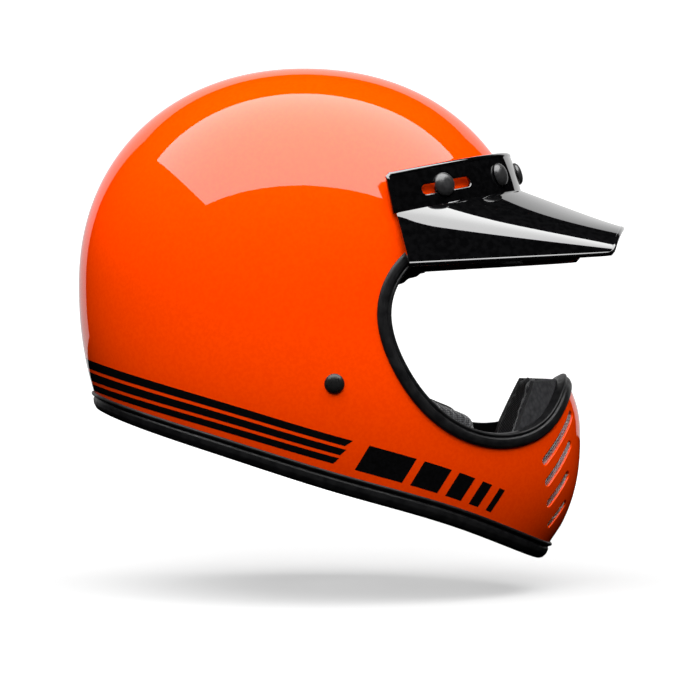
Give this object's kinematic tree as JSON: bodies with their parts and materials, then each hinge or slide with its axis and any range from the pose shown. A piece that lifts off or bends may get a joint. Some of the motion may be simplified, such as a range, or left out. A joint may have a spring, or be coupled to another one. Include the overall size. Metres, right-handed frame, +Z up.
{
  "type": "motocross helmet",
  "caption": "Gloss fluorescent orange motocross helmet with a fixed slotted chin bar, black rubber edges, a black peak held by five snaps, padded lining and a D-ring chin strap.",
  "frame": {"origin": "middle of the head space on the symmetry plane, level with the brow", "axes": "+X forward, +Y to the wearer's left, +Z up, as worn"},
  "size_m": [0.3503, 0.2476, 0.3119],
  "materials": {
    "shell_orange": "fluorescent orange gloss lacquer over moulded fibre shell",
    "edge_rubber": "black moulded rubber edging",
    "foam": "expanded bead foam, dark grey",
    "lining": "black brushed knit over soft foam",
    "screen": "woven silver wire screen",
    "metal": "plated steel",
    "black_metal": "black painted rivet heads",
    "webbing": "black woven nylon webbing",
    "peak": "gloss black moulded plastic",
    "snap_black": "black moulded snap caps with a soft sheen"
  },
  "bodies": {
    "shell": {"outer_shell": "shell_orange", "eyeport_trim": "edge_rubber", "base_trim": "edge_rubber", "impact_liner": "foam", "crown_pad": "lining", "brow_pad": "lining", "neck_roll": "lining", "chin_bar_liner": "foam", "chin_pad": "lining", "vent_mesh_right": "screen", "vent_mesh_left": "screen", "strap_rivet_right": "black_metal", "strap_rivet_left": "black_metal", "strap_anchor_plate_right": "metal", "strap_anchor_plate_left": "metal", "strap_hanger_right": "webbing", "strap_hanger_left": "webbing", "snap_sockets": "metal", "snap_washers": "metal"},
    "cheek_right": {"cheek_block_right": "foam", "cheek_pad_right": "lining"},
    "cheek_left": {"cheek_block_left": "foam", "cheek_pad_left": "lining"},
    "strap": {"chin_strap": "webbing", "chin_strap_short": "webbing", "d_ring_inner": "metal", "d_ring_outer": "metal", "strap_snap": "snap_black"},
    "peak": {"visor": "peak"},
    "snap_middle": {"visor_snap_middle": "snap_black"},
    "snap_inner_left": {"visor_snap_inner_left": "snap_black"},
    "snap_inner_right": {"visor_snap_inner_right": "snap_black"},
    "snap_outer_left": {"visor_snap_outer_left": "snap_black"},
    "snap_outer_right": {"visor_snap_outer_right": "snap_black"}
  },
  "joints": [
    {"name": "visor_slide", "type": "slide", "parent": "shell", "child": "peak", "axis": [1, 0, 0], "range_m": [0, 0.08]},
    {"name": "chin_strap_swing", "type": "hinge", "parent": "shell", "child": "strap", "pos_m": [0.016, 0, -0.119], "axis": [0, 1, 0], "range_deg": [-70, 70]},
    {"name": "cheek_pad_right_pull", "type": "slide", "parent": "shell", "child": "cheek_right", "axis": [0, 1, 0], "range_m": [0, 0.02]},
    {"name": "cheek_pad_left_pull", "type": "slide", "parent": "shell", "child": "cheek_left", "axis": [0, -1, 0], "range_m": [0, 0.02]},
    {"name": "snap_middle_pull", "type": "slide", "parent": "peak", "child": "snap_middle", "axis": [0.8938, 0, 0.4484], "range_m": [0, 0.004]},
    {"name": "snap_inner_left_pull", "type": "slide", "parent": "peak", "child": "snap_inner_left", "axis": [0.7555, 0.5108, 0.4102], "range_m": [0, 0.004]},
    {"name": "snap_inner_right_pull", "type": "slide", "parent": "peak", "child": "snap_inner_right", "axis": [0.7555, -0.5108, 0.4102], "range_m": [0, 0.004]},
    {"name": "snap_outer_left_pull", "type": "slide", "parent": "peak", "child": "snap_outer_left", "axis": [0.4985, 0.7949, 0.3459], "range_m": [0, 0.004]},
    {"name": "snap_outer_right_pull", "type": "slide", "parent": "peak", "child": "snap_outer_right", "axis": [0.4985, -0.7949, 0.3459], "range_m": [0, 0.004]}
  ]
}
